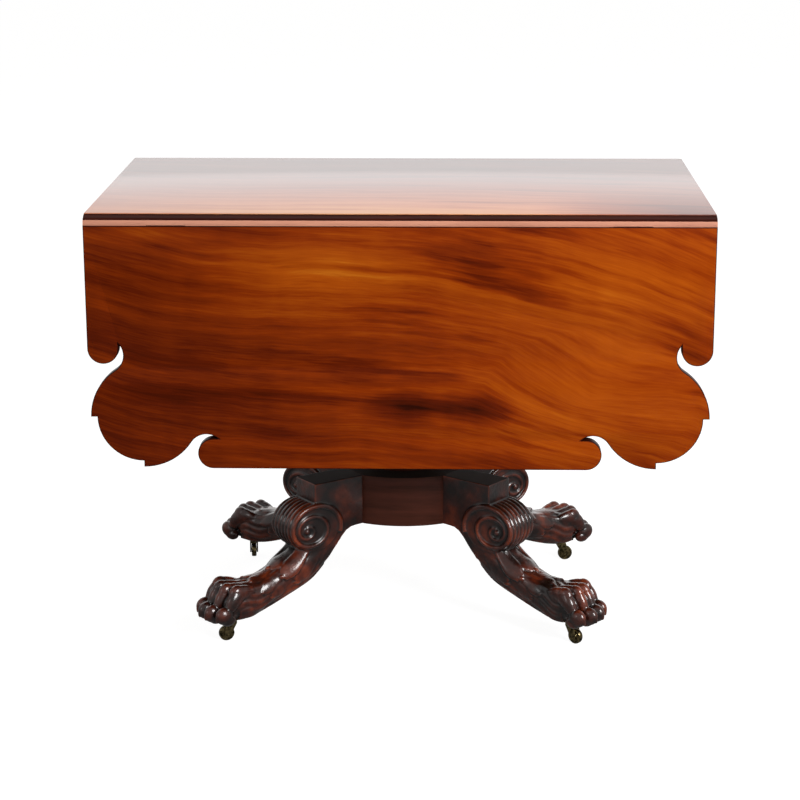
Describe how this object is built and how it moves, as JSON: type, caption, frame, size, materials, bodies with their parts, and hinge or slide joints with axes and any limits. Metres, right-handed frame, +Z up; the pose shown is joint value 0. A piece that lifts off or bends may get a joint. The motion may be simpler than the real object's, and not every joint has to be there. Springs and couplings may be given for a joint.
{
  "type": "drop-leaf breakfast table",
  "caption": "Pillar breakfast table with hanging scroll-cut leaves on rule joints, fly brackets, an end drawer, a bowed platform and carved lion-paw legs on brass casters.",
  "frame": {"origin": "on the floor, under the middle of the top", "axes": "+X along the top's length towards the drawer, +Y from the front leaf to the rear leaf, +Z up"},
  "size_m": [0.978, 0.594, 0.73],
  "materials": {
    "mahogany_top": "polished shellac over figured mahogany",
    "mahogany_case": "polished shellac over straight-grained mahogany",
    "mahogany_base": "dark polished shellac over carved mahogany",
    "poplar": "planed, unfinished secondary wood",
    "oak": "planed, unfinished oak",
    "wrought_iron": "dark hammered iron",
    "cast_brass": "aged cast brass with worn bright spots"
  },
  "bodies": {
    "root": {"center_top": "mahogany_top", "sham_drawer_knob": "mahogany_case", "left_end_rail": "mahogany_case", "front_drawer_stile": "mahogany_case", "rear_drawer_stile": "mahogany_case", "drawer_blade": "mahogany_case", "drawer_upper_rail": "mahogany_case", "front_left_leg": "mahogany_base", "front_right_leg": "mahogany_base", "rear_left_leg": "mahogany_base", "rear_right_leg": "mahogany_base", "column": "mahogany_base", "platform": "mahogany_base", "front_inner_rail": "poplar", "rear_inner_rail": "poplar", "corner_blocks": "poplar", "drawer_runners": "poplar", "drawer_kickers": "poplar", "bearer_board": "poplar", "leg_dowels": "poplar", "front_hinge_rail": "oak", "rear_hinge_rail": "oak", "front_hinge_top_plates": "wrought_iron", "rear_hinge_top_plates": "wrought_iron", "front_hinge_pins": "wrought_iron", "rear_hinge_pins": "wrought_iron", "fly_pins": "wrought_iron", "hinge_screws": "wrought_iron", "frame_screws": "wrought_iron", "bearer_screws": "wrought_iron", "caster_plates": "cast_brass", "caster_plate_screws": "cast_brass"},
    "front_leaf": {"front_leaf": "mahogany_top", "front_hinge_leaf_plates": "wrought_iron", "front_leaf_screws": "wrought_iron"},
    "rear_leaf": {"rear_leaf": "mahogany_top", "rear_hinge_leaf_plates": "wrought_iron", "rear_leaf_screws": "wrought_iron"},
    "drawer": {"drawer_front": "mahogany_case", "drawer_bottom": "poplar", "drawer_back": "poplar", "front_drawer_side": "poplar", "rear_drawer_side": "poplar", "drawer_knob": "mahogany_case"},
    "front_left_fly_bracket": {"front_left_fly_bracket": "oak"},
    "front_left_caster_fork": {"front_left_caster_fork": "cast_brass", "front_left_caster_axle": "cast_brass"},
    "front_left_caster_wheel": {"front_left_caster_wheel": "cast_brass"},
    "front_right_fly_bracket": {"front_right_fly_bracket": "oak"},
    "front_right_caster_fork": {"front_right_caster_fork": "cast_brass", "front_right_caster_axle": "cast_brass"},
    "front_right_caster_wheel": {"front_right_caster_wheel": "cast_brass"},
    "rear_left_fly_bracket": {"rear_left_fly_bracket": "oak"},
    "rear_left_caster_fork": {"rear_left_caster_fork": "cast_brass", "rear_left_caster_axle": "cast_brass"},
    "rear_left_caster_wheel": {"rear_left_caster_wheel": "cast_brass"},
    "rear_right_fly_bracket": {"rear_right_fly_bracket": "oak"},
    "rear_right_caster_fork": {"rear_right_caster_fork": "cast_brass", "rear_right_caster_axle": "cast_brass"},
    "rear_right_caster_wheel": {"rear_right_caster_wheel": "cast_brass"}
  },
  "joints": [
    {"name": "front_leaf_hinge", "type": "hinge", "parent": "root", "child": "front_leaf", "pos_m": [0, -0.28, 0.713], "axis": [-1, 0, 0], "range_deg": [0, 90]},
    {"name": "rear_leaf_hinge", "type": "hinge", "parent": "root", "child": "rear_leaf", "pos_m": [0, 0.28, 0.713], "axis": [1, 0, 0], "range_deg": [0, 90]},
    {"name": "drawer_slide", "type": "slide", "parent": "root", "child": "drawer", "axis": [1, 0, 0], "range_m": [0, 0.3]},
    {"name": "front_left_fly_swing", "type": "hinge", "parent": "root", "child": "front_left_fly_bracket", "pos_m": [-0.11, -0.207, 0.66], "axis": [0, 0, 1], "range_deg": [0, 11]},
    {"name": "front_right_fly_swing", "type": "hinge", "parent": "root", "child": "front_right_fly_bracket", "pos_m": [0.11, -0.207, 0.66], "axis": [0, 0, -1], "range_deg": [0, 11]},
    {"name": "rear_left_fly_swing", "type": "hinge", "parent": "root", "child": "rear_left_fly_bracket", "pos_m": [-0.11, 0.207, 0.66], "axis": [0, 0, -1], "range_deg": [0, 11]},
    {"name": "rear_right_fly_swing", "type": "hinge", "parent": "root", "child": "rear_right_fly_bracket", "pos_m": [0.11, 0.207, 0.66], "axis": [0, 0, 1], "range_deg": [0, 11]},
    {"name": "front_left_caster_swivel", "type": "hinge", "parent": "root", "child": "front_left_caster_fork", "pos_m": [-0.28135, -0.20819, 0.03], "axis": [0, 0, 1], "continuous": true},
    {"name": "front_left_caster_roll", "type": "hinge", "parent": "front_left_caster_fork", "child": "front_left_caster_wheel", "pos_m": [-0.28981, -0.21127, 0.013], "axis": [0.342, -0.9397, 0], "continuous": true},
    {"name": "front_right_caster_swivel", "type": "hinge", "parent": "root", "child": "front_right_caster_fork", "pos_m": [0.28135, -0.20819, 0.03], "axis": [0, 0, 1], "continuous": true},
    {"name": "front_right_caster_roll", "type": "hinge", "parent": "front_right_caster_fork", "child": "front_right_caster_wheel", "pos_m": [0.28804, -0.21421, 0.013], "axis": [0.6691, 0.7431, 0], "continuous": true},
    {"name": "rear_left_caster_swivel", "type": "hinge", "parent": "root", "child": "rear_left_caster_fork", "pos_m": [-0.28135, 0.20819, 0.03], "axis": [0, 0, 1], "continuous": true},
    {"name": "rear_left_caster_roll", "type": "hinge", "parent": "rear_left_caster_fork", "child": "rear_left_caster_wheel", "pos_m": [-0.28229, 0.21714, 0.013], "axis": [-0.9945, -0.1045, 0], "continuous": true},
    {"name": "rear_right_caster_swivel", "type": "hinge", "parent": "root", "child": "rear_right_caster_fork", "pos_m": [0.28135, 0.20819, 0.03], "axis": [0, 0, 1], "continuous": true},
    {"name": "rear_right_caster_roll", "type": "hinge", "parent": "rear_right_caster_fork", "child": "rear_right_caster_wheel", "pos_m": [0.29015, 0.21006, 0.013], "axis": [-0.2079, 0.9781, 0], "continuous": true}
  ]
}
